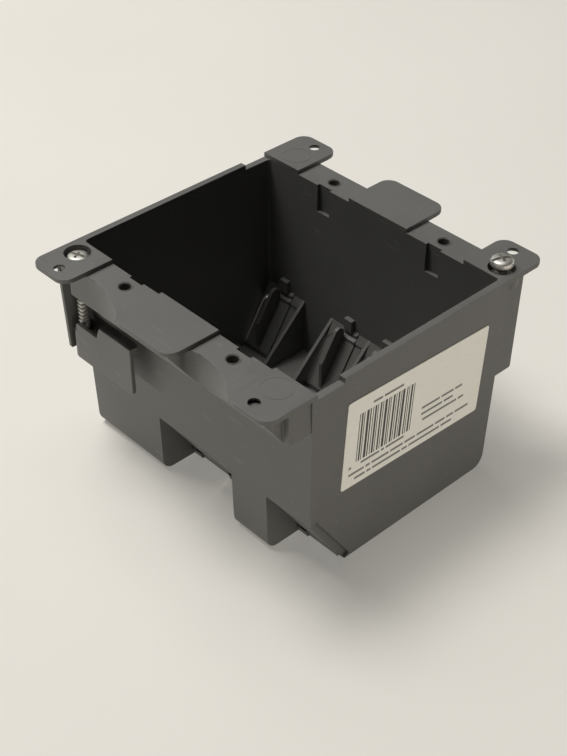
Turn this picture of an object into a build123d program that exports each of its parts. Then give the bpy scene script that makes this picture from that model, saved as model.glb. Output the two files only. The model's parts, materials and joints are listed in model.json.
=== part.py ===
from build123d import *
import os
from math import cos, radians, sin, tan

os.makedirs("parts", exist_ok=True)

# Tub, sizes taken at the open face
depth = 69.85
body_width = 101.0
body_length = 77.8
side_wall = 2.3
end_wall = 2.0
floor_wall = 2.0
outer_draft = 1.4
inner_draft = 1.0
end_floor_radius = 4.0
inner_radius = 1.2
rim_drop = 1.65
rim_step = 27.0

# Ears, ledges and the skirt below the ledges
ear_reach = 15.9
ear_thickness = 1.5
corner_ear = 15.9
centre_ear = 24.4
ear_radius = 4.0
ledge_drop = 1.4
ledge_reach = 7.7
band_drop = 12.3
band_wall = 1.8
band_open_inset = 6.1
band_closed_inset = 0.5
band_round = 1.6

# Holes of the open face
device_pitch_x = 46.04
device_stand = 2.77
device_hole = 3.5
device_column = 7.4
device_ring = 4.7
ring_rise = 0.15
hole_chamfer = 0.35
notch_width = 5.4
notch_deep = 1.0
notch_tall = 9.5
nail_inset = 9.0
nail_tip = 4.0
nail_hole = 3.5
nail_flare = 0.6
nail_land = 0.6
blank_stand = 3.9
blank_ring = 9.3
blank_line = 0.3
blank_deep = 0.06

# Clamps
clamp_inset = 5.9
clamp_stand = 3.2
head_diameter = 6.9
head_height = 2.1
head_bevel = 0.6
head_clearance = 0.55
head_sunk = 0.8
head_proud = 3.2
seat_wall = 1.4
seat_thickness = 1.7
seat_gap = 0.1
shank_diameter = 3.5
shank_length = 34.0
shank_clearance = 0.45
bore_clearance = 0.2
tip_chamfer = 0.5
drive_span = 4.2
drive_width = 0.95
drive_deep = 1.25
slot_deep = 0.7
fin_set = 1.2
fin_thickness = 1.1
fin_out = 7.9
fin_foot_out = 6.4
fin_drop = 35.2
fin_radius = 0.6
wing_drop = 19.9
wing_height = 17.0
wing_reach = 26.2
wing_plate = 1.4
hub_radius = 3.2
hub_height = 9.8
wing_low = 12.8
notch_start = 9.9
notch_end = 11.6
wing_radius = 1.5
lip_deep = 3.8
lip_height = 2.0
lip_radius = 1.8

# Gussets under two ears of the near end
gusset_tip_gap = 0.9
gusset_edge = 0.4
gusset_inset = 2.6
gusset_turn = 3.2
flare_run = 18.7
gusset_core_gap = 0.2

# Cable entries, three at each end
entry_rise = 21.85
entry_slope = 57.0
rib_slope = 43.5
wide_entry = 32.8
narrow_inset = 19.3
rib_thickness = 1.3
panel_thickness = 1.2
left_slot = 0.8
right_slot = 1.3
slot_start = 3.4
slot_round = 4.2
slot_over = 1.0
shelf_inset = 4.0
shelf_drop = 0.6
tongue_gap = 0.6
tongue_foot = 2.7
blade_thickness = 1.4
blade_inset = 8.8
blade_height = 9.6
blade_front = 12.0
blade_back = 2.0
blade_round = 2.0
blade_root = 0.6
tread_rise = 0.45
tread_deep = 1.1
tread_fall = 0.7
tread_step = 1.2
tab_inset = 6.0
tab_width = 3.6
tab_deep = 1.6
tab_tall = 4.6
edge_chamfer = 2.4
edge_chamfer_deep = 1.4

# Label
label_width = 57.0
label_height = 31.2
label_thickness = 0.15
label_radius = 0.9
label_tilt = -2.4
label_drop = 26.7
label_shift = 2.6
label_gap = 0.01

# Values that follow
half_width = body_width / 2
half_length = body_length / 2
inner_width = body_width - 2 * side_wall
inner_length = body_length - 2 * end_wall
outer_slope = tan(radians(outer_draft))
inner_slope = tan(radians(inner_draft))
ledge_top = depth - ledge_drop
band_foot = depth - band_drop
band_face = half_length + ledge_reach
band_open_end = half_width - band_open_inset
band_closed_end = half_width - band_closed_inset
ear_tip = half_length + ear_reach
device_pitch_y = body_length + 2 * device_stand
nail_pitch_x = body_width - 2 * nail_inset
nail_pitch_y = 2 * (ear_tip - nail_tip)
blank_pitch_x = nail_pitch_x
blank_pitch_y = body_length + 2 * blank_stand
clamp_x = half_width - clamp_inset
clamp_y = half_length + clamp_stand
fin_reach = half_length + fin_out
fin_foot_reach = half_length + fin_foot_out
head_pocket = head_diameter + 2 * head_clearance
seat_drop = head_sunk + head_height + seat_gap
reach_past = 5.0
open_face = Plane(origin=(0, 0, depth), x_dir=(1, 0, 0), z_dir=(0, 0, -1))

# Outer block of the tub
with BuildPart() as tub_outer:
    with BuildSketch(open_face):
        Rectangle(body_width, body_length)
    extrude(amount=depth, taper=outer_draft)
    fillet(tub_outer.faces().sort_by(Axis.Z)[0].edges().filter_by(Axis.X), end_floor_radius)

# Room inside the tub
with BuildPart() as cavity:
    with BuildSketch(open_face):
        Rectangle(inner_width, inner_length)
    extrude(amount=depth - floor_wall, taper=inner_draft)
    fillet([e for e in cavity.edges() if e.bounding_box().size.Z > depth / 2], inner_radius)
    fillet(cavity.faces().sort_by(Axis.Z)[0].edges(), inner_radius)

# Ears, ledges, skirt, columns and stop fin of the near end
band_mid_x = (band_closed_end - band_open_end) / 2
band_span = band_closed_end + band_open_end
band_back = half_length - end_wall / 2
with BuildPart() as end_flange:
    # ledge and skirt, hollow and open below
    with BuildSketch(Plane.XY.offset(ledge_top)):
        with Locations((band_mid_x, -(band_face + band_back) / 2)):
            Rectangle(band_span, band_face - band_back)
    extrude(amount=-(ledge_top - band_foot))
    front_edges = end_flange.edges().filter_by(Axis.Z).sort_by(Axis.Y)[0:2]
    fillet(front_edges.sort_by(Axis.X)[0], band_round)
    with BuildSketch(Plane.XY.offset(ledge_top - band_wall)):
        with Locations((band_mid_x - band_wall, -(band_face - band_wall + band_back) / 2)):
            Rectangle(band_span + band_wall, band_face - band_wall - band_back)
    extrude(amount=-(ledge_top - band_foot), mode=Mode.SUBTRACT)
    # columns for the device screws, with a raised ring on the ledge
    with BuildSketch(Plane.XY.offset(band_foot)):
        with Locations((-device_pitch_x / 2, -device_pitch_y / 2), (device_pitch_x / 2, -device_pitch_y / 2)):
            Circle(device_column / 2)
    extrude(amount=ledge_top - band_foot)
    with BuildSketch(Plane.XY.offset(ledge_top)):
        with Locations((-device_pitch_x / 2, -device_pitch_y / 2), (device_pitch_x / 2, -device_pitch_y / 2)):
            Circle(device_ring / 2)
    extrude(amount=ring_rise)
    # ears
    ear_length = ear_tip - half_length + end_wall + ear_radius
    with BuildSketch(Plane.XY.offset(depth - ear_thickness)):
        with Locations((0, -(ear_tip - ear_length / 2))):
            RectangleRounded(centre_ear, ear_length, ear_radius)
        with Locations((half_width - corner_ear / 2, -(ear_tip - ear_length / 2)),
                       (-(half_width - corner_ear / 2), -(ear_tip - ear_length / 2))):
            RectangleRounded(corner_ear, ear_length, ear_radius)
    extrude(amount=ear_thickness)
    # seat under the clamp screw head
    with BuildSketch(Plane.XY.offset(depth)):
        with Locations((-clamp_x, -clamp_y)):
            Circle(head_pocket / 2 + seat_wall)
    extrude(amount=-(seat_drop + seat_thickness))
    # stop fin, set a little in from the side wall
    with BuildSketch(Plane.YZ.offset(-half_width + fin_set)):
        with BuildLine():
            Polyline(
                (-(half_length - end_wall), depth - ear_thickness / 2),
                (-fin_reach, depth - ear_thickness / 2),
                (-fin_foot_reach, depth - fin_drop),
                (-(half_length - end_wall), depth - fin_drop),
                close=True,
            )
        make_face()
    extrude(amount=fin_thickness)
    fin_corner = end_flange.edges().filter_by(Axis.X).sort_by(Axis.Z)[0:2].sort_by(Axis.Y)[0]
    fillet(fin_corner, fin_radius)

# Gussets under the centre ear and the near right ear, each with a curved flare on its left
gusset_tip = ear_tip - gusset_tip_gap
gusset_back = band_face - band_wall / 2
gusset_sides = [
    (-(centre_ear / 2) + gusset_edge, centre_ear / 2 - gusset_edge, gusset_turn),
    (half_width - corner_ear + gusset_edge, half_width - gusset_inset, gusset_edge),
]
with BuildPart() as gussets:
    for left, right, turn in gusset_sides:
        tip_left = (left, -gusset_tip)
        tip_right = (right, -(gusset_tip - ear_radius))
        turn_mid = (right + turn * (1 - cos(radians(45))), -(band_face + turn * (1 - cos(radians(45)))))
        with BuildSketch(Plane.XY.offset(band_foot)):
            with BuildLine():
                Line(tip_left, (right - ear_radius, -gusset_tip))
                TangentArc((right - ear_radius, -gusset_tip), tip_right, tangent=(1, 0))
                Line(tip_right, (right, -(band_face + turn)))
                ThreePointArc((right, -(band_face + turn)), turn_mid, (right + turn, -band_face))
                Line((right + turn, -band_face), (right + turn, -gusset_back))
                Line((right + turn, -gusset_back), (left - flare_run, -gusset_back))
                Line((left - flare_run, -gusset_back), (left - flare_run, -band_face))
                TangentArc((left - flare_run, -band_face), tip_left, tangent=(1, 0))
            make_face()
        extrude(amount=ledge_top - band_foot)
    with BuildSketch(Plane.YZ.offset(-half_width)):
        with BuildLine():
            Polyline(
                (-(band_face - band_wall), band_foot),
                (-band_face, band_foot),
                (-gusset_tip, depth - ear_thickness),
                (-gusset_tip, ledge_top),
                (-(band_face - band_wall), ledge_top),
                close=True,
            )
        make_face()
    extrude(amount=body_width, mode=Mode.INTERSECT)

# Room inside each gusset, open to the skirt
gusset_rise = ledge_top - band_wall - band_foot
gusset_lean = (gusset_tip - band_face) / (depth - ear_thickness - band_foot)
core_foot = band_face - band_wall * (1 + gusset_lean ** 2) ** 0.5
with BuildPart() as gusset_core:
    for left, right, turn in gusset_sides:
        with BuildSketch(Plane.YZ.offset(left + band_wall)):
            with BuildLine():
                Polyline(
                    (-(band_face - 2 * band_wall), band_foot - gusset_core_gap),
                    (-(core_foot - gusset_lean * gusset_core_gap), band_foot - gusset_core_gap),
                    (-(core_foot + gusset_lean * gusset_rise), ledge_top - band_wall),
                    (-(band_face - 2 * band_wall), ledge_top - band_wall),
                    close=True,
                )
            make_face()
        extrude(amount=right - left - 2 * band_wall)

# Cable entries of the far end
entry_y = half_length - end_wall - inner_slope * (depth - entry_rise)
fall = tan(radians(entry_slope))
panel_level = panel_thickness / sin(radians(entry_slope))
narrow_edge = -(half_width - narrow_inset)
entry_width = wide_entry / 2 - rib_thickness / 2
entry_rights = [narrow_edge, -rib_thickness / 2, wide_entry / 2]
panel_over = 1.5
floor_cut = entry_y - entry_rise / fall - tongue_gap

# What the entries take away from the end wall, floor and side wall
with BuildPart() as entry_room:
    with BuildSketch(Plane.YZ.offset(-wide_entry / 2)):
        with BuildLine():
            Polyline(
                (half_length + reach_past, entry_rise),
                (entry_y - tread_deep, entry_rise),
                (floor_cut, floor_wall + tongue_gap),
                (floor_cut, -1),
                (half_length + reach_past, -1),
                close=True,
            )
        make_face()
    extrude(amount=wide_entry)
    with BuildSketch(Plane.YZ.offset(narrow_edge)):
        with BuildLine():
            Polyline(
                (half_length + reach_past, entry_rise),
                (entry_y - tread_deep, entry_rise),
                (floor_cut, floor_wall + tongue_gap),
                (floor_cut, -1),
                (half_length + reach_past, -1),
                close=True,
            )
        make_face()
    extrude(amount=-(inner_width / 2 + narrow_edge - inner_slope * depth))
    # the side wall is cut along the slope of the entry
    with BuildSketch(Plane.YZ.offset(-half_width - reach_past)):
        with BuildLine():
            Polyline(
                (half_length + reach_past, entry_rise),
                (entry_y + panel_level, entry_rise),
                (entry_y + panel_level - (entry_rise + 1) / fall, -1),
                (half_length + reach_past, -1),
                close=True,
            )
        make_face()
    extrude(amount=half_width + reach_past + narrow_edge)

# Bevel along the cut edge of the side wall
slope_y = cos(radians(entry_slope))
slope_z = sin(radians(entry_slope))
bevel_x = -(half_width - outer_slope * (depth - entry_rise / 2))
bevel_plane = Plane(
    origin=(bevel_x, entry_y + panel_level - entry_rise / 2 / fall, entry_rise / 2),
    x_dir=(1, 0, 0),
    z_dir=(0, slope_y, slope_z),
)
with BuildPart() as edge_bevel:
    with BuildSketch(bevel_plane):
        with BuildLine():
            Polyline(
                (edge_chamfer_deep, 0),
                (-edge_chamfer_deep, 2 * edge_chamfer),
                (-edge_chamfer_deep, -edge_chamfer),
                (edge_chamfer_deep, -edge_chamfer),
                close=True,
            )
        make_face()
    extrude(amount=entry_rise / slope_z / 2, both=True)

# What the entries add: ribs, sloping panels, tongues, blades, treads and tabs
rib_run = (entry_rise - floor_wall) / tan(radians(rib_slope))
with BuildPart() as entry_parts:
    # full ribs beside the entries
    for left in (-wide_entry / 2 - rib_thickness, wide_entry / 2, narrow_edge):
        with BuildSketch(Plane.YZ.offset(left)):
            with BuildLine():
                Polyline(
                    (half_length + reach_past, entry_rise),
                    (entry_y, entry_rise),
                    (entry_y - rib_run, floor_wall),
                    (entry_y - rib_run, 0),
                    (half_length + reach_past, 0),
                    close=True,
                )
            make_face()
        extrude(amount=rib_thickness)
    # rib between the two entries of the wide recess, above the panel only
    with BuildSketch(Plane.YZ.offset(-rib_thickness / 2)):
        with BuildLine():
            Polyline(
                (entry_y + end_wall / 2, entry_rise + end_wall / 2),
                (entry_y - end_wall / 2 / tan(radians(rib_slope)), entry_rise - end_wall / 2),
                (entry_y - rib_run, floor_wall),
                (entry_y - rib_run, 0),
                (entry_y + panel_level - entry_rise / fall, 0),
                (entry_y + panel_level, entry_rise),
                close=True,
            )
        make_face()
    extrude(amount=rib_thickness)
    # sloping panels
    for left, right in ((-wide_entry / 2, wide_entry / 2), (-half_width + edge_chamfer_deep, narrow_edge)):
        with BuildSketch(Plane.YZ.offset(left)):
            with BuildLine():
                Polyline(
                    (entry_y + panel_over / fall, entry_rise + panel_over),
                    (entry_y - entry_rise / fall, 0),
                    (entry_y + panel_level - entry_rise / fall, 0),
                    (entry_y + panel_level + panel_over / fall, entry_rise + panel_over),
                    close=True,
                )
            make_face()
        extrude(amount=right - left)
    # slots that free each tongue, a low shelf on its right, and its foot
    panel_plane = Plane(
        origin=(0, entry_y, entry_rise),
        x_dir=(1, 0, 0),
        z_dir=(0, slope_z, -slope_y),
    )
    slot_end = entry_rise / slope_z + reach_past
    turn_y = slot_start + slot_round
    turn_in = slot_round - left_slot
    for right in entry_rights:
        left = right - entry_width
        turn_x = left + slot_round
        slot_tip = right - blade_inset - blade_thickness
        outer_mid = (turn_x - slot_round * cos(radians(45)), turn_y - slot_round * cos(radians(45)))
        inner_mid = (turn_x - turn_in * cos(radians(45)), turn_y - turn_in * cos(radians(45)))
        with BuildSketch(panel_plane):
            with BuildLine():
                Line((left, slot_end), (left, turn_y))
                ThreePointArc((left, turn_y), outer_mid, (turn_x, slot_start))
                Line((turn_x, slot_start), (slot_tip, slot_start))
                Line((slot_tip, slot_start), (slot_tip, slot_start + left_slot))
                Line((slot_tip, slot_start + left_slot), (turn_x, slot_start + left_slot))
                ThreePointArc((turn_x, slot_start + left_slot), inner_mid, (left + left_slot, turn_y))
                Line((left + left_slot, turn_y), (left + left_slot, slot_end))
                Line((left + left_slot, slot_end), (left, slot_end))
            make_face()
            with Locations((right - right_slot / 2, (slot_start + slot_end) / 2)):
                Rectangle(right_slot, slot_end - slot_start)
        extrude(amount=panel_thickness + slot_over, mode=Mode.SUBTRACT)
        with BuildSketch(panel_plane):
            with Locations((right - (shelf_inset + right_slot) / 2, (slot_start + slot_end) / 2)):
                Rectangle(shelf_inset - right_slot, slot_end - slot_start)
        extrude(amount=shelf_drop, mode=Mode.SUBTRACT)
        with BuildSketch(Plane.XY.offset(tongue_foot)):
            with Locations((right - entry_width / 2, half_length)):
                Rectangle(entry_width, 2 * (half_length - floor_cut))
        extrude(amount=-(tongue_foot + slot_over), mode=Mode.SUBTRACT)
    # upright blade, treads and tab on each tongue
    blade_y = entry_y - blade_back - blade_round
    blade_z = entry_rise - (entry_y - blade_y) * fall + blade_height - blade_round / slope_y
    front_z = entry_rise - blade_front * fall
    back_z = entry_rise - blade_back * fall
    half_turn = radians(45 + entry_slope / 2)
    blade_mid = (blade_y + blade_round * cos(half_turn), blade_z + blade_round * sin(half_turn))
    blade_start = (blade_y - blade_round * slope_z, blade_z + blade_round * slope_y)
    tread_top = entry_rise + tread_rise
    for right in entry_rights:
        with BuildSketch(Plane.YZ.offset(right - blade_inset - blade_thickness)):
            with BuildLine():
                Line((entry_y - blade_front, front_z - blade_root), (entry_y - blade_front, front_z + blade_height))
                Line((entry_y - blade_front, front_z + blade_height), blade_start)
                ThreePointArc(blade_start, blade_mid, (entry_y - blade_back, blade_z))
                Line((entry_y - blade_back, blade_z), (entry_y - blade_back, back_z - blade_root))
                Line((entry_y - blade_back, back_z - blade_root), (entry_y - blade_front, front_z - blade_root))
            make_face()
        extrude(amount=blade_thickness)
        with BuildSketch(Plane.YZ.offset(right - blade_inset - blade_thickness / 2)):
            with BuildLine():
                Polyline(
                    (entry_y + end_wall / 2, tread_top),
                    (entry_y, tread_top),
                    (entry_y - tread_deep, tread_top - tread_fall),
                    (entry_y - tread_deep, tread_top - tread_fall - tread_step),
                    (entry_y - 2 * tread_deep, tread_top - 2 * tread_fall - tread_step),
                    (entry_y - 2 * tread_deep, entry_rise - 2 * tread_deep * fall - blade_root),
                    (entry_y + end_wall / 2, entry_rise - blade_root),
                    close=True,
                )
            make_face()
        extrude(amount=blade_inset + blade_thickness / 2 - shelf_inset)
        with BuildSketch(Plane.XY.offset(entry_rise)):
            with Locations((right - tab_inset - tab_width / 2, entry_y + (end_wall / 2 - tab_deep) / 2)):
                Rectangle(tab_width, tab_deep + end_wall / 2)
        extrude(amount=tab_tall)
    add(tub_outer.part, mode=Mode.INTERSECT)

# The whole moulding
with BuildPart() as box_body:
    add(tub_outer.part)
    add(cavity.part, mode=Mode.SUBTRACT)
    # the end walls drop to the ledges between the ears
    ledge_span = half_width - corner_ear - centre_ear / 2
    with BuildSketch(Plane.XY.offset(depth)):
        with GridLocations(centre_ear + ledge_span, inner_length + end_wall, 2, 2):
            Rectangle(ledge_span, end_wall + 1)
    extrude(amount=-ledge_drop, mode=Mode.SUBTRACT)
    with PolarLocations(0, 2):
        add(end_flange.part)
    add(gussets.part)
    add(gusset_core.part, mode=Mode.SUBTRACT)
    # the ears stop flush with the inside of the end walls
    add(cavity.part, mode=Mode.SUBTRACT)
    # low part of each side rim
    with BuildSketch(Plane.XY.offset(depth)):
        with PolarLocations(0, 2):
            with Locations((half_width - side_wall / 2, -(inner_length / 2 + rim_step) / 2)):
                Rectangle(2 * side_wall, inner_length / 2 - rim_step)
    extrude(amount=-rim_drop, mode=Mode.SUBTRACT)
    # notches behind the device screws
    with BuildSketch(Plane.XY.offset(ledge_top)):
        with GridLocations(device_pitch_x, inner_length, 2, 2):
            Rectangle(notch_width, 2 * notch_deep)
    extrude(amount=-notch_tall, mode=Mode.SUBTRACT)
    # device holes, nail holes, clamp seats
    with BuildSketch(Plane.XY.offset(ledge_top + ring_rise)):
        with GridLocations(device_pitch_x, device_pitch_y, 2, 2):
            Circle(device_hole / 2)
    extrude(amount=-(ledge_top + ring_rise - band_foot), mode=Mode.SUBTRACT)
    with GridLocations(device_pitch_x, device_pitch_y, 2, 2):
        with Locations((0, 0, ledge_top + ring_rise)):
            Cone(
                device_hole / 2,
                device_hole / 2 + hole_chamfer,
                hole_chamfer,
                align=(Align.CENTER, Align.CENTER, Align.MAX),
                mode=Mode.SUBTRACT,
            )
    with BuildSketch(Plane.XY.offset(depth)):
        with GridLocations(nail_pitch_x, nail_pitch_y, 2, 2):
            Circle(nail_hole / 2)
    extrude(amount=-ear_thickness, mode=Mode.SUBTRACT)
    with GridLocations(nail_pitch_x, nail_pitch_y, 2, 2):
        with Locations((0, 0, depth - nail_land)):
            Cone(
                nail_hole / 2 + nail_flare,
                nail_hole / 2,
                ear_thickness - nail_land,
                align=(Align.CENTER, Align.CENTER, Align.MAX),
                mode=Mode.SUBTRACT,
            )
    with BuildSketch(Plane.XY.offset(depth)):
        with Locations((-clamp_x, -clamp_y), (clamp_x, clamp_y)):
            Circle(head_pocket / 2)
    extrude(amount=-seat_drop, mode=Mode.SUBTRACT)
    with BuildSketch(Plane.XY.offset(depth)):
        with Locations((-clamp_x, -clamp_y), (clamp_x, clamp_y)):
            Circle(shank_diameter / 2 + shank_clearance)
    extrude(amount=-(seat_drop + seat_thickness), mode=Mode.SUBTRACT)
    # blank screw places on the other two corner ears
    with BuildSketch(Plane.XY.offset(depth)):
        with Locations((blank_pitch_x / 2, -blank_pitch_y / 2), (-blank_pitch_x / 2, blank_pitch_y / 2)):
            Circle(blank_ring / 2)
            Circle(blank_ring / 2 - blank_line, mode=Mode.SUBTRACT)
    extrude(amount=-blank_deep, mode=Mode.SUBTRACT)
    # cable entries
    with PolarLocations(0, 2):
        add(entry_room.part, mode=Mode.SUBTRACT)
    with PolarLocations(0, 2):
        add(entry_parts.part)
    with PolarLocations(0, 2):
        add(edge_bevel.part, mode=Mode.SUBTRACT)

box_body.part.label = "box_body"
export_step(box_body.part, "parts/box_body.step")

# Clamp screws, the near one sunk and the far one backed out
near_seat = depth - head_sunk - head_height
with BuildPart() as clamp_screw_near:
    with BuildSketch(Plane.XY.offset(near_seat)):
        with Locations((-clamp_x, -clamp_y)):
            Circle(head_diameter / 2)
    extrude(amount=head_height)
    chamfer(clamp_screw_near.edges().sort_by(Axis.Z)[-1], head_bevel)
    with BuildSketch(Plane.XY.offset(near_seat)):
        with Locations((-clamp_x, -clamp_y)):
            Circle(shank_diameter / 2)
    extrude(amount=-shank_length)
    chamfer(clamp_screw_near.edges().sort_by(Axis.Z)[0], tip_chamfer)
    with BuildSketch(Plane.XY.offset(near_seat + head_height)):
        with Locations((-clamp_x, -clamp_y)):
            Rectangle(drive_span, drive_width)
            Rectangle(drive_width, drive_span)
    extrude(amount=-drive_deep, mode=Mode.SUBTRACT)
    with BuildSketch(Plane.XY.offset(near_seat + head_height)):
        with Locations((-clamp_x, -clamp_y)):
            Rectangle(head_diameter, drive_width)
    extrude(amount=-slot_deep, mode=Mode.SUBTRACT)
clamp_screw_near.part.label = "clamp_screw_near"
export_step(clamp_screw_near.part, "parts/clamp_screw_near.step")

far_lift = head_proud + head_sunk
with BuildPart() as clamp_screw_far:
    with Locations(Location((0, 0, far_lift), (0, 0, 180))):
        add(clamp_screw_near.part)
clamp_screw_far.part.label = "clamp_screw_far"
export_step(clamp_screw_far.part, "parts/clamp_screw_far.step")

# Clamp wings, folded along the end walls
wing_foot = depth - wing_drop - wing_height
with BuildPart() as clamp_wing_near:
    with BuildSketch(Plane.XZ.offset(clamp_y + hub_radius)) as flag:
        with BuildLine():
            Polyline(
                (-clamp_x, wing_foot),
                (-clamp_x + wing_reach, wing_foot),
                (-clamp_x + wing_reach, wing_foot + wing_height),
                (-clamp_x + notch_end, wing_foot + wing_height),
                (-clamp_x + notch_start, wing_foot + wing_low),
                (-clamp_x, wing_foot + wing_low),
                close=True,
            )
        make_face()
        fillet(flag.vertices().sort_by(Axis.X)[-2:], wing_radius)
    extrude(amount=-wing_plate)
    with BuildSketch(Plane.XY.offset(wing_foot)):
        with Locations((-clamp_x, -clamp_y)):
            Circle(hub_radius)
    extrude(amount=hub_height)
    lip_mid = -clamp_x + (notch_end + wing_reach) / 2
    with BuildSketch(Plane.XY.offset(wing_foot + wing_height)) as lip:
        with Locations((lip_mid, -(clamp_y + hub_radius - lip_deep / 2))):
            Rectangle(wing_reach - notch_end, lip_deep)
        fillet(lip.vertices().sort_by(Axis.Y)[-2:], lip_radius)
    extrude(amount=-lip_height)
    with BuildSketch(Plane.XY.offset(wing_foot)):
        with Locations((-clamp_x, -clamp_y)):
            Circle(shank_diameter / 2 + bore_clearance)
    extrude(amount=hub_height, mode=Mode.SUBTRACT)
clamp_wing_near.part.label = "clamp_wing_near"
export_step(clamp_wing_near.part, "parts/clamp_wing_near.step")

with BuildPart() as clamp_wing_far:
    with Locations(Location((0, 0, 0), (0, 0, 180))):
        add(clamp_wing_near.part)
clamp_wing_far.part.label = "clamp_wing_far"
export_step(clamp_wing_far.part, "parts/clamp_wing_far.step")

# Label on the right side wall
label_plane = Plane(
    origin=(half_width - outer_slope * label_drop + label_gap, label_shift, depth - label_drop),
    x_dir=(0, 1, 0),
    z_dir=(cos(radians(outer_draft)), 0, -sin(radians(outer_draft))),
)
with BuildPart() as side_label:
    with BuildSketch(label_plane):
        RectangleRounded(label_width, label_height, label_radius, rotation=label_tilt)
    extrude(amount=label_thickness)
side_label.part.label = "side_label"
export_step(side_label.part, "parts/side_label.step")
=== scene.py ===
import json
from itertools import cycle
from math import pi, radians

import bmesh
import bpy
from mathutils import Matrix, Vector

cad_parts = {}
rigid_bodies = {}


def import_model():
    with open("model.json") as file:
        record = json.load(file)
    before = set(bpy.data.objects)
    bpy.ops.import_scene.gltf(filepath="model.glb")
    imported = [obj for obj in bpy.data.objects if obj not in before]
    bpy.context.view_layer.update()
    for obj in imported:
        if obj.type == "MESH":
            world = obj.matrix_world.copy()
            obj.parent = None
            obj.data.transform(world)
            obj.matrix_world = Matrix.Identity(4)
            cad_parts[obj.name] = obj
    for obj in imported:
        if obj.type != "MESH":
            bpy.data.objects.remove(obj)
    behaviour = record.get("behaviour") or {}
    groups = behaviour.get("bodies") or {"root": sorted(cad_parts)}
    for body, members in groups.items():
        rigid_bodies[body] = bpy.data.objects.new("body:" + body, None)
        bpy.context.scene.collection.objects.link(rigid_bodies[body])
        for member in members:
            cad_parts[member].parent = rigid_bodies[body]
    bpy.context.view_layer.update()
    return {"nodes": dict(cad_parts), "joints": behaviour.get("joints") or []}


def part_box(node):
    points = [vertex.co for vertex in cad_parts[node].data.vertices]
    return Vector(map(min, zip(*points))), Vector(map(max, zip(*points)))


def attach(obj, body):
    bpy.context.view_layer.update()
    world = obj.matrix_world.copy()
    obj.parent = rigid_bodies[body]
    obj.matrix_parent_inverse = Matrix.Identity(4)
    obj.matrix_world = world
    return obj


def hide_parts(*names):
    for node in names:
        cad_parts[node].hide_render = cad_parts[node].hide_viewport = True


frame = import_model()
mm = 0.001
scene = bpy.context.scene
scene.view_settings.view_transform = "Standard"
print("frame loaded:", sorted(frame["nodes"]))

# a Mix node's colour sockets share their names with its other sockets, so they go by number
mixSocket = {"first": 6, "second": 7, "result": 2}


# a new node, with each value set on the node itself or on its input of that name
def addNode(tree, kind, **values):
    node = tree.nodes.new(kind)
    for key, value in values.items():
        if hasattr(node, key):
            setattr(node, key, value)
        else:
            node.inputs[key].default_value = value
    return node


def addNoise(tree, vector, **values):
    node = addNode(tree, "ShaderNodeTexNoise", **values)
    tree.links.new(vector, node.inputs["Vector"])
    return node


# colours are sockets to link or plain red, green and blue
def mixColours(tree, factor, first, second):
    node = addNode(tree, "ShaderNodeMix", data_type="RGBA")
    tree.links.new(factor, node.inputs["Factor"])
    for place, colour in (("first", first), ("second", second)):
        socket = node.inputs[mixSocket[place]]
        if isinstance(colour, bpy.types.NodeSocket):
            tree.links.new(colour, socket)
        else:
            socket.default_value = (*colour, 1)
    return node.outputs[mixSocket["result"]]


def mapRange(tree, value, given=(0.0, 1.0), wanted=(0.0, 1.0)):
    node = addNode(tree, "ShaderNodeMapRange")
    tree.links.new(value, node.inputs["Value"])
    for label, number in zip(("From Min", "From Max", "To Min", "To Max"), (*given, *wanted)):
        node.inputs[label].default_value = number
    return node.outputs["Result"]


def takeShare(tree, value, share):
    node = addNode(tree, "ShaderNodeMath", operation="MULTIPLY")
    tree.links.new(value, node.inputs[0])
    node.inputs[1].default_value = share
    return node.outputs[0]


def newGroup(name, inputs, outputs):
    group = bpy.data.node_groups.new(name, "ShaderNodeTree")
    for label, kind, value in inputs:
        socket = group.interface.new_socket(label, in_out="INPUT", socket_type=kind)
        socket.default_value = value
    for label, kind in outputs:
        group.interface.new_socket(label, in_out="OUTPUT", socket_type=kind)
    return group, addNode(group, "NodeGroupInput"), addNode(group, "NodeGroupOutput")


# a new material with its tree, its shader and the Object coordinates that every finish here reads
def newMaterial(name):
    material = bpy.data.materials.new(name)
    material.use_nodes = True
    tree = material.node_tree
    place = addNode(tree, "ShaderNodeTexCoord").outputs["Object"]
    return material, tree, tree.nodes["Principled BSDF"], place


# moulded grain: fine bumps and slow drifts of tone, for the plastic pieces
def makeMouldGrain():
    group, given, out = newGroup(
        "mouldGrain",
        [("Vector", "NodeSocketVector", (0, 0, 0)), ("Grain Size", "NodeSocketFloat", 2600.0),
         ("Drift Size", "NodeSocketFloat", 38.0)],
        [("Height", "NodeSocketFloat"), ("Drift", "NodeSocketFloat")],
    )
    fine = addNoise(group, given.outputs["Vector"], Detail=3.0, Roughness=0.6)
    drift = addNoise(group, given.outputs["Vector"], Detail=4.0, Roughness=0.55)
    group.links.new(given.outputs["Grain Size"], fine.inputs["Scale"])
    group.links.new(given.outputs["Drift Size"], drift.inputs["Scale"])
    group.links.new(fine.outputs["Fac"], out.inputs["Height"])
    group.links.new(drift.outputs["Fac"], out.inputs["Drift"])
    return group


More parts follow.
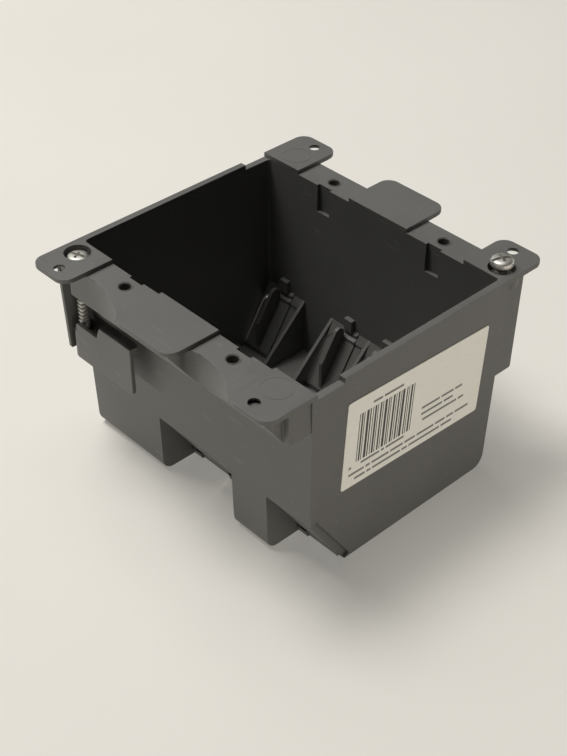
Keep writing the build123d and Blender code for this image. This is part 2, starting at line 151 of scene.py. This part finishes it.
# rubs and dust: long faint scuffs and small pale specks
def makeRubs():
    scuffLay = {"turn": (0.5, 0.9, 0.4), "stretch": (1.0, 9.0, 4.0), "cut": (0.66, 0.78)}
    speckCut = (0.07, 0.03)  # a speck fades out between these distances from its middle
    group, given, out = newGroup(
        "rubsAndDust",
        [("Vector", "NodeSocketVector", (0, 0, 0)), ("Scuff Size", "NodeSocketFloat", 90.0),
         ("Speck Size", "NodeSocketFloat", 260.0)],
        [("Scuffs", "NodeSocketFloat"), ("Specks", "NodeSocketFloat")],
    )
    turn = addNode(group, "ShaderNodeMapping", Rotation=scuffLay["turn"], Scale=scuffLay["stretch"])
    group.links.new(given.outputs["Vector"], turn.inputs["Vector"])
    scuff = addNoise(group, turn.outputs["Vector"], Detail=2.0, Roughness=0.5)
    group.links.new(given.outputs["Scuff Size"], scuff.inputs["Scale"])
    group.links.new(mapRange(group, scuff.outputs["Fac"], scuffLay["cut"]), out.inputs["Scuffs"])
    speck = addNode(group, "ShaderNodeTexVoronoi", feature="F1")
    group.links.new(given.outputs["Vector"], speck.inputs["Vector"])
    group.links.new(given.outputs["Speck Size"], speck.inputs["Scale"])
    group.links.new(mapRange(group, speck.outputs["Distance"], speckCut), out.inputs["Specks"])
    return group


mouldGrain = makeMouldGrain()
rubsAndDust = makeRubs()


# matt moulded plastic with drift, scuffs and dust
def makePlastic(name, finish):
    material, tree, shader, place = newMaterial(name)
    grain = addNode(tree, "ShaderNodeGroup", node_tree=mouldGrain)
    grain.inputs["Grain Size"].default_value = finish["grainSize"]
    grain.inputs["Drift Size"].default_value = finish["driftSize"]
    rubs = addNode(tree, "ShaderNodeGroup", node_tree=rubsAndDust)
    rubs.inputs["Scuff Size"].default_value = finish["scuffSize"]
    rubs.inputs["Speck Size"].default_value = finish["speckSize"]
    for effect in (grain, rubs):
        tree.links.new(place, effect.inputs["Vector"])
    drift = grain.outputs["Drift"]
    tone = mixColours(tree, drift, finish["dark"], finish["light"])
    scuffs = takeShare(tree, rubs.outputs["Scuffs"], finish["scuffShare"])
    worn = mixColours(tree, scuffs, tone, finish["scuff"])
    specks = takeShare(tree, rubs.outputs["Specks"], finish["dustShare"])
    dusty = mixColours(tree, specks, worn, finish["dust"])
    bump = addNode(tree, "ShaderNodeBump", Strength=finish["bump"], Distance=finish["bumpDepth"])
    tree.links.new(grain.outputs["Height"], bump.inputs["Height"])
    tree.links.new(dusty, shader.inputs["Base Color"])
    tree.links.new(mapRange(tree, drift, wanted=finish["rough"]), shader.inputs["Roughness"])
    tree.links.new(bump.outputs["Normal"], shader.inputs["Normal"])
    shader.inputs["IOR"].default_value = finish["ior"]
    return material


boxFinish = {
    "dark": (0.087, 0.086, 0.081), "light": (0.116, 0.115, 0.108),
    "scuff": (0.19, 0.187, 0.176), "scuffShare": 0.35,
    "dust": (0.42, 0.41, 0.385), "dustShare": 0.28,
    "rough": (0.42, 0.6), "ior": 1.46, "bump": 0.22, "bumpDepth": 0.08 * mm,
    "grainSize": 2600.0, "driftSize": 38.0, "scuffSize": 90.0, "speckSize": 260.0,
}
wingFinish = dict(boxFinish, dark=(0.088, 0.087, 0.081), light=(0.115, 0.113, 0.106), rough=(0.36, 0.52),
                  driftSize=70.0)
boxPlastic = makePlastic("boxPlastic", boxFinish)
wingPlastic = makePlastic("wingPlastic", wingFinish)


# bright zinc plate with a cloudy roughness
def makeZinc(finish):
    material, tree, shader, place = newMaterial("zincPlate")
    cloud = addNoise(tree, place, Scale=finish["cloud"], Detail=4.0, Roughness=0.6).outputs["Fac"]
    tone = mixColours(tree, cloud, finish["dark"], finish["light"])
    tree.links.new(tone, shader.inputs["Base Color"])
    tree.links.new(mapRange(tree, cloud, wanted=finish["rough"]), shader.inputs["Roughness"])
    shader.inputs["Metallic"].default_value = 1.0
    return material


zincFinish = {"dark": (0.40, 0.39, 0.36), "light": (0.58, 0.57, 0.53), "cloud": 520.0, "rough": (0.4, 0.58)}
zincPlate = makeZinc(zincFinish)


# uncoated label paper with faint fibres
def makePaper(finish):
    material, tree, shader, place = newMaterial("labelPaper")
    stretch = addNode(tree, "ShaderNodeMapping", Scale=finish["stretch"])
    tree.links.new(place, stretch.inputs["Vector"])
    fibre = addNoise(tree, stretch.outputs["Vector"], Scale=finish["fibre"], Detail=5.0, Roughness=0.7)
    bump = addNode(tree, "ShaderNodeBump", Strength=finish["bump"], Distance=finish["bumpDepth"])
    tree.links.new(fibre.outputs["Fac"], bump.inputs["Height"])
    tone = mixColours(tree, fibre.outputs["Fac"], finish["dark"], finish["light"])
    tree.links.new(tone, shader.inputs["Base Color"])
    tree.links.new(bump.outputs["Normal"], shader.inputs["Normal"])
    shader.inputs["Roughness"].default_value = finish["rough"]
    return material


paperFinish = {"dark": (0.71, 0.694, 0.64), "light": (0.81, 0.792, 0.73), "rough": 0.72,
               "fibre": 900.0, "stretch": (1.0, 0.35, 1.0), "bump": 0.12, "bumpDepth": 0.05 * mm}
labelPaper = makePaper(paperFinish)


# printing ink, a little patchy
def makeInk(name, finish):
    material, tree, shader, place = newMaterial(name)
    patch = addNoise(tree, place, Scale=finish["patch"], Detail=2.0).outputs["Fac"]
    tree.links.new(mixColours(tree, patch, finish["dark"], finish["light"]), shader.inputs["Base Color"])
    shader.inputs["Roughness"].default_value = finish["rough"]
    return material


barInk = {"dark": (0.018, 0.018, 0.019), "light": (0.06, 0.06, 0.058), "patch": 2400.0, "rough": 0.6}
strokeInk = {"dark": (0.08, 0.079, 0.077), "light": (0.26, 0.255, 0.24), "patch": 3800.0, "rough": 0.6}
labelInk = makeInk("labelInk", barInk)
fineInk = makeInk("fineInk", strokeInk)
print("materials made:", len(bpy.data.materials))


# turns a bmesh into a finished piece that rides on a body, with edges over smoothAngle degrees kept crisp
def finishPiece(name, bm, material, body, smoothAngle=30):
    bm.normal_update()
    for f in bm.faces:
        f.smooth = True
    for e in bm.edges:
        e.smooth = len(e.link_faces) != 2 or e.calc_face_angle(0.0) < radians(smoothAngle)
    mesh = bpy.data.meshes.new(name)
    bm.to_mesh(mesh)
    bm.free()
    # the solids' own stored normals no longer fit the rounded mesh
    stale = mesh.attributes.get("custom_normal")
    if stale:
        mesh.attributes.remove(stale)
    mesh.materials.clear()
    mesh.materials.append(material)
    piece = bpy.data.objects.new(name, mesh)
    scene.collection.objects.link(piece)
    weigh = piece.modifiers.new("flatFaces", "WEIGHTED_NORMAL")
    weigh.keep_sharp = True
    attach(piece, body)
    return piece


def edgeRun(e):
    return e.verts[1].co - e.verts[0].co


def onlyVerts(geom):
    return [v for v in geom if isinstance(v, bmesh.types.BMVert)]


# edges that stay as the solid has them: the tub's upright outer corners, and the lower edges of the ears'
# sides, which lie only a hair outside the tub's walls
def staysPlain(e, plain):
    run = edgeRun(e)
    middle = (e.verts[0].co + e.verts[1].co) / 2
    tubCorner = (abs(run.z) > plain["upright"] * run.length and abs(middle.x) > plain["beyondX"]
                 and plain["beyondY"] < abs(middle.y) < plain["withinY"])
    earSide = all(abs(v.co.x) > plain["earSide"] and abs(v.co.z - plain["earUnder"]) < plain["hair"]
                  for v in e.verts)
    return tubCorner or earSide


# an edge is rounded only where its faces and its neighbours leave room for it
def hasRoom(e, edge):
    if min(f.calc_area() for f in e.link_faces) < edge["room"] * e.calc_length():
        return False
    along = edgeRun(e).normalized()
    for v in e.verts:
        for other in v.link_edges:
            if other is not e and other.calc_length() < edge["spare"] * edge["width"]:
                if abs(edgeRun(other).normalized().dot(along)) < edge["inLine"]:
                    return False
    return True


# copy of a solid with its sharp outward edges rounded over, as a moulded edge is
def roundedCopy(node, edge, plain=None):
    bm = bmesh.new()
    bm.from_mesh(frame["nodes"][node].data)
    bmesh.ops.remove_doubles(bm, verts=bm.verts, dist=edge["merge"])
    bmesh.ops.dissolve_limit(bm, angle_limit=radians(edge["flat"]), verts=bm.verts, edges=bm.edges)
    sharp = [e for e in bm.edges if len(e.link_faces) == 2 and e.calc_face_angle(0.0) > radians(edge["angle"])
             and e.is_convex and hasRoom(e, edge) and not (plain and staysPlain(e, plain))]
    bmesh.ops.bevel(bm, geom=sharp, offset=edge["width"], offset_type="OFFSET", segments=edge["segments"],
                    profile=0.5, affect="EDGES", clamp_overlap=False, material=-1)
    return bm


# box moulding
boxEdge = {"merge": 2e-6, "flat": 0.4, "angle": 32, "width": 0.22 * mm, "segments": 2,
           "room": 1.25 * mm, "spare": 1.2, "inLine": 0.85}
boxPlain = {"upright": 0.98, "beyondX": 48 * mm, "beyondY": 36 * mm, "withinY": 39 * mm,
            "earSide": 50.3 * mm, "earUnder": 68.35 * mm, "hair": 0.05 * mm}
boxShell = finishPiece("boxShell", roundedCopy("box_body", boxEdge, boxPlain), boxPlastic, "box")
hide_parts("box_body")
print("box shell:", len(boxShell.data.polygons), "faces")

# toes: the down-turned ends of the six cable tongues and the thin web that shuts the gap at the floor's edge,
# in millimetres; each part has its start and stop from the tongue's right side, and its inner face
tongueToe = {"rights": (-31.2, -0.65, 16.4), "top": 2.8, "low": 0.3, "web": 0.9, "thick": 1.45, "tip": 0.5,
             "floorEdge": 21.2, "parts": ((-15.7, -4.0, 23.63), (-4.0, -0.05, 24.35))}


def toeSection(toe, inner):
    return [(inner, toe["top"]), (inner + toe["thick"], toe["top"]), (inner + toe["tip"], toe["low"]),
            (toe["floorEdge"], toe["low"]), (toe["floorEdge"], toe["web"]), (inner, toe["web"])]


bm = bmesh.new()
for right in tongueToe["rights"]:
    for start, stop, inner in tongueToe["parts"]:
        outline = [((right + start) * mm, y * mm, z * mm) for y, z in toeSection(tongueToe, inner)]
        face = bm.faces.new([bm.verts.new(point) for point in outline])
        grown = bmesh.ops.extrude_face_region(bm, geom=[face])["geom"]
        bmesh.ops.translate(bm, verts=onlyVerts(grown), vec=((stop - start) * mm, 0, 0))
otherEnd = bmesh.ops.duplicate(bm, geom=bm.verts[:] + bm.edges[:] + bm.faces[:])["geom"]
bmesh.ops.rotate(bm, verts=onlyVerts(otherEnd), cent=(0, 0, 0), matrix=Matrix.Rotation(pi, 3, "Z"))
bmesh.ops.recalc_face_normals(bm, faces=bm.faces)
finishPiece("tongueToes", bm, boxPlastic, "box")
print("tongue toes made")

# clamp wings
wingEdge = dict(boxEdge, width=0.25 * mm, segments=3, room=0.6 * mm, spare=1.6)
for end in ("near", "far"):
    bm = roundedCopy("clamp_wing_" + end, wingEdge)
    wing = finishPiece("clampWing." + end, bm, wingPlastic, "wing_" + end)
    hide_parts("clamp_wing_" + end)
print("wings made")

# clamp screws: turned head with a cross and slot drive, and a rolled thread
screwPart = {
    "turns": {"near": 20, "far": 65}, "smoothAngle": 40, "headSteps": 64, "shankSteps": 40,
    "headRadius": 3.45 * mm, "headHeight": 2.1 * mm, "length": 34.0 * mm, "headSink": 0.1 * mm,
    "coreRadius": 1.22 * mm, "threadRadius": 1.75 * mm, "pitch": 1.4 * mm, "stepsPerTurn": 28,
    "threadStart": 0.6, "threadSink": 0.04 * mm, "crestRound": 0.05 * mm, "rootHalf": 0.4, "crestHalf": 0.09,
    "plainNeck": 0.6 * mm, "tipLength": 1.4 * mm,
    "crossSpan": 4.3 * mm, "crossTip": 0.35 * mm, "crossWidth": 0.95 * mm, "crossDepth": 1.35 * mm,
    "crossOver": 0.2, "slotWidth": 1.0 * mm, "slotDepth": 0.75 * mm, "slotReach": 1.1,
    # the neck in shares of the core radius, the rim of the head radius, the dome of its radius and height
    "neck": ((1.05, -0.15 * mm), (1.2, 0)),
    "rim": ((0.96, 0), (1.0, 0.08 * mm)),
    "dome": ((1.0, 0.3), (0.985, 0.48), (0.94, 0.66), (0.86, 0.8), (0.72, 0.91), (0.5, 0.97), (0.25, 0.995)),
    # the tip in shares of the core radius and of the tip's length
    "tip": ((0.55, 0), (0.9, 0.5), (1.0, 1.0)),
}
cornerToSide = 1.414  # a square's half diagonal over half its side


def lathe(bm, points, steps):
    verts = [bm.verts.new((r, 0, z)) for r, z in points]
    edges = [bm.edges.new(pair) for pair in zip(verts, verts[1:])]
    bmesh.ops.spin(bm, geom=verts + edges, cent=(0, 0, 0), axis=(0, 0, 1), angle=2 * pi, steps=steps,
                   use_merge=True)
    bmesh.ops.remove_doubles(bm, verts=bm.verts, dist=0.001 * mm)
    bmesh.ops.recalc_face_normals(bm, faces=bm.faces)


def plainObject(name, bm):
    mesh = bpy.data.meshes.new(name)
    bm.to_mesh(mesh)
    bm.free()
    thing = bpy.data.objects.new(name, mesh)
    scene.collection.objects.link(thing)
    return thing


def headBlank(part):
    r, h, core, neck = part["headRadius"], part["headHeight"], part["coreRadius"], part["plainNeck"]
    points = [(0, -neck), (core, -neck)]
    points += [(core * share, z) for share, z in part["neck"]]
    points += [(r * share, z) for share, z in part["rim"]]
    points += [(r * share, h * rise) for share, rise in part["dome"]]
    bm = bmesh.new()
    lathe(bm, points + [(0, h)], part["headSteps"])
    return plainObject("headBlank", bm)


# two tapered arms that cross
def crossCutter(part):
    span, depth, over = part["crossSpan"], part["crossDepth"], part["crossOver"]
    bm = bmesh.new()
    for angle in (0, 90):
        arm = bmesh.ops.create_cone(bm, cap_ends=True, segments=4, radius1=part["crossTip"], radius2=span / 2,
                                    depth=depth * (1 + over))["verts"]
        bmesh.ops.rotate(bm, verts=arm, cent=(0, 0, 0), matrix=Matrix.Rotation(radians(45), 3, "Z"))
        bmesh.ops.scale(bm, verts=arm, vec=(cornerToSide, part["crossWidth"] / span * cornerToSide, 1))
        bmesh.ops.rotate(bm, verts=arm, cent=(0, 0, 0), matrix=Matrix.Rotation(radians(angle), 3, "Z"))
        bmesh.ops.translate(bm, verts=arm, vec=(0, 0, part["headHeight"] - depth * (1 - over) / 2))
    return plainObject("driveCutter", bm)


def slotCutter(part):
    bm = bmesh.new()
    bar = bmesh.ops.create_cube(bm, size=1.0)["verts"]
    reach = 2 * part["slotReach"] * part["headRadius"]
    bmesh.ops.scale(bm, verts=bar, vec=(reach, part["slotWidth"], 2 * part["slotDepth"]))
    bmesh.ops.translate(bm, verts=bar, vec=(0, 0, part["headHeight"]))
    return plainObject("slotCutter", bm)


def screwHead(part):
    head = headBlank(part)
    cutters = [crossCutter(part), slotCutter(part)]
    for cutter in cutters:
        step = head.modifiers.new("cut", "BOOLEAN")
        step.operation = "DIFFERENCE"
        step.object = cutter
        step.solver = "EXACT"
        step.use_self = True
    depsgraph = bpy.context.evaluated_depsgraph_get()
    mesh = bpy.data.meshes.new_from_object(head.evaluated_get(depsgraph))
    made = bmesh.new()
    made.from_mesh(mesh)
    for thing in (head, *cutters):
        old = thing.data
        bpy.data.objects.remove(thing)
        bpy.data.meshes.remove(old)
    bpy.data.meshes.remove(mesh)
    return made


def addThread(bm, part):
    crest, pitch = part["threadRadius"], part["pitch"]
    low = -part["length"] + part["tipLength"] * part["threadStart"]
    turns = (part["length"] - part["plainNeck"] - part["tipLength"]) / pitch
    steps = int(turns * part["stepsPerTurn"])
    flank = [(part["coreRadius"] - part["threadSink"], part["rootHalf"] * pitch),
             (crest - part["crestRound"], part["crestHalf"] * pitch)]
    profile = [(r, -z) for r, z in flank] + [(crest, 0)] + flank[::-1]
    verts = [bm.verts.new((r, 0, low + z)) for r, z in profile]
    edges = [bm.edges.new(pair) for pair in zip(verts, verts[1:] + verts[:1])]
    bmesh.ops.spin(bm, geom=verts + edges, cent=(0, 0, 0), axis=(0, 0, 1), steps=steps,
                   dvec=(0, 0, pitch / part["stepsPerTurn"]), angle=2 * pi * steps / part["stepsPerTurn"])
    bmesh.ops.holes_fill(bm, edges=[e for e in bm.edges if e.is_boundary], sides=8)


def screwShank(part):
    core, low, sink = part["coreRadius"], -part["length"], part["headSink"]
    tip = [(core * share, low + part["tipLength"] * rise) for share, rise in part["tip"]]
    bm = bmesh.new()
    lathe(bm, [(0, low)] + tip + [(core, -sink), (0, -sink)], part["shankSteps"])
    addThread(bm, part)
    bmesh.ops.recalc_face_normals(bm, faces=bm.faces)
    mesh = bpy.data.meshes.new("shank")
    bm.to_mesh(mesh)
    bm.free()
    return mesh


for end, turn in screwPart["turns"].items():
    bm = screwHead(screwPart)
    shank = screwShank(screwPart)
    bm.from_mesh(shank)
    bpy.data.meshes.remove(shank)
    # on the axis of its own joint, with the head's top where the solid has it
    axis = next(joint["pos_m"] for joint in frame["joints"] if joint["child"] == "screw_" + end)
    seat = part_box("clamp_screw_" + end)[1][2] - screwPart["headHeight"]
    spot = Matrix.Translation((axis[0], axis[1], seat)) @ Matrix.Rotation(radians(turn), 4, "Z")
    bmesh.ops.transform(bm, matrix=spot, verts=bm.verts)
    screw = finishPiece("clampScrew." + end, bm, zincPlate, "screw_" + end, screwPart["smoothAngle"])
    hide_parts("clamp_screw_" + end)
print("screws made")

# label: the paper solid keeps its shape, the print is thin strips of ink on it, placed in millimetres from
# the paper's middle
labelSheet = {"lean": 1.4, "tilt": -2.4, "proud": 0.07, "ink": 0.02}
labelLow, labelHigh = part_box("side_label")
labelMaterials = frame["nodes"]["side_label"].data.materials
labelMaterials.clear()
labelMaterials.append(labelPaper)
standUp = Matrix(((0, 0, 1, 0), (1, 0, 0, 0), (0, 1, 0, 0), (0, 0, 0, 1)))  # rows run along +Y, facing +X
labelPlace = (Matrix.Translation((Vector(labelLow) + Vector(labelHigh)) / 2)
              @ Matrix.Rotation(radians(labelSheet["lean"]), 4, "Y") @ standUp
              @ Matrix.Rotation(radians(labelSheet["tilt"]), 4, "Z"))


def inkStrip(bm, x, y, width, height):
    ink = labelSheet["ink"]
    bar = bmesh.ops.create_cube(bm, size=1.0)["verts"]
    bmesh.ops.scale(bm, verts=bar, vec=(width * mm, height * mm, ink * mm))
    bmesh.ops.translate(bm, verts=bar, vec=(x * mm, y * mm, (labelSheet["proud"] + ink / 2) * mm))


# a plain row of upright bars in a repeating rhythm
barBlock = {"left": -23.6, "right": -1.4, "low": -7.2, "high": 9.8,
            "widths": (0.3, 0.6, 0.3, 0.9, 0.45, 0.3, 0.7), "gaps": (0.5, 0.35, 0.75, 0.4, 0.6)}
bm = bmesh.new()
barMiddle = (barBlock["low"] + barBlock["high"]) / 2
barHeight = barBlock["high"] - barBlock["low"]
x = barBlock["left"]
for width, gap in zip(cycle(barBlock["widths"]), cycle(barBlock["gaps"])):
    if x >= barBlock["right"]:
        break
    inkStrip(bm, x + width / 2, barMiddle, width, barHeight)
    x += width + gap
bmesh.ops.transform(bm, matrix=labelPlace, verts=bm.verts)
finishPiece("labelBars", bm, labelInk, "box")

# rows of short grey strokes: where each starts, its level and the strokes' lengths
strokeRows = {"height": 0.8, "space": 0.7,
              "rows": [(-18.6, 11.6, (3.6, 7.6)), (-26.2, -8.4, (1.0,)), (-21.4, -8.4, (7.4, 1.2, 7.4)),
                       (2.6, -1.6, (7.6, 5.2, 3.0)), (2.6, -3.9, (8.9, 3.9)), (3.4, -6.2, (14.6, 2.4)),
                       (-26.0, -11.0, (6.1, 1.7, 6.9, 5.2, 4.4, 7.2, 4.1, 3.0, 5.8)),
                       (-23.5, -13.2, (4.2, 1.6, 11.4, 2.2, 13.0, 4.6))]}
bm = bmesh.new()
for x, level, strokes in strokeRows["rows"]:
    for stroke in strokes:
        inkStrip(bm, x + stroke / 2, level, stroke, strokeRows["height"])
        x += stroke + strokeRows["space"]
bmesh.ops.transform(bm, matrix=labelPlace, verts=bm.verts)
finishPiece("labelRows", bm, fineInk, "box")
print("label made")

# pale table top, a little self-lit so that the shadow on it stays soft
tablePart = {"colour": (0.66, 0.638, 0.588), "drift": 0.03, "cloud": 9.0, "rough": 0.85, "glow": 0.34,
             "size": 4.0}


def makeTable(part):
    material, tree, shader, place = newMaterial("paleTable")
    cloud = addNoise(tree, place, Scale=part["cloud"], Detail=3.0).outputs["Fac"]
    dark = [c * (1 - part["drift"]) for c in part["colour"]]
    light = [c * (1 + part["drift"]) for c in part["colour"]]
    tone = mixColours(tree, cloud, dark, light)
    tree.links.new(tone, shader.inputs["Base Color"])
    tree.links.new(tone, shader.inputs["Emission Color"])
    shader.inputs["Emission Strength"].default_value = part["glow"]
    shader.inputs["Roughness"].default_value = part["rough"]
    return material


bm = bmesh.new()
bmesh.ops.create_grid(bm, x_segments=1, y_segments=1, size=tablePart["size"] / 2)
floor = plainObject("tableTop", bm)
floor.data.materials.append(makeTable(tablePart))


# puts a camera or a lamp in the scene and turns it towards a point
def placeAndAim(thing, place, target):
    thing.location = place
    thing.rotation_mode = "QUATERNION"
    thing.rotation_quaternion = (Vector(target) - Vector(place)).to_track_quat("-Z", "Y")
    scene.collection.objects.link(thing)


# camera at the photograph's place, in millimetres
view = {"from": (254.8, -240.0, 303.75), "to": (7.11, -8.43, 34.85), "lens": 69.22, "sensor": 36.0,
        "nearest": 10.0}
cameraData = bpy.data.cameras.new("photoCamera")
cameraData.lens = view["lens"]
cameraData.sensor_width = view["sensor"]
cameraData.sensor_fit = "AUTO"
cameraData.clip_start = view["nearest"] * mm
cameraData.dof.use_dof = False
camera = bpy.data.objects.new("photoCamera", cameraData)
placeAndAim(camera, Vector(view["from"]) * mm, Vector(view["to"]) * mm)
scene.camera = camera

# soft studio light: a high key from the front left, a wide sheet overhead, and a low sheet on each side that
# lights the object's walls and leaves the table alone
litPieces = bpy.data.collections.new("litPieces")
for thing in scene.objects:
    if thing.type == "MESH" and thing != floor:
        litPieces.objects.link(thing)
midHeight = 0.034  # about half the box's height
sheetSize = (1.1, 0.06)
softWhite = (1.0, 0.985, 0.96)
creamWhite = (1.0, 0.985, 0.95)
warmWhite = (1.0, 0.93, 0.83)
studio = {
    "key": {"at": (-0.40, -0.22, 1.2), "size": (0.45, 0.45), "power": 8.3, "tint": softWhite},
    "overhead": {"at": (-0.5, 0.0, 1.2), "size": (1.0, 1.5), "power": 7.9, "tint": softWhite},
    "frontSheet": {"at": (-0.25, -0.85, midHeight), "size": sheetSize, "power": 2.75, "tint": creamWhite},
    "rightSheet": {"at": (0.9, 0.05, midHeight), "size": sheetSize, "power": 2.8, "tint": warmWhite},
    "backSheet": {"at": (0.2, 0.9, midHeight), "size": sheetSize, "power": 1.4, "tint": softWhite},
    "leftSheet": {"at": (-0.9, 0.1, midHeight), "size": sheetSize, "power": 1.4, "tint": softWhite},
}
for name, lamp in studio.items():
    lampData = bpy.data.lights.new(name, "AREA")
    lampData.shape = "RECTANGLE"
    lampData.size, lampData.size_y = lamp["size"]
    lampData.energy = lamp["power"]
    lampData.color = lamp["tint"]
    light = bpy.data.objects.new(name, lampData)
    placeAndAim(light, lamp["at"], (0, 0, midHeight))
    if name.endswith("Sheet"):
        light.light_linking.receiver_collection = litPieces

# faint light from the room all round
room = {"colour": (0.93, 0.91, 0.87), "strength": 0.03}
world = bpy.data.worlds.new("studioRoom")
scene.world = world
world.use_nodes = True
background = world.node_tree.nodes["Background"]
background.inputs["Color"].default_value = (*room["colour"], 1)
background.inputs["Strength"].default_value = room["strength"]
print("stage, camera and lights placed")
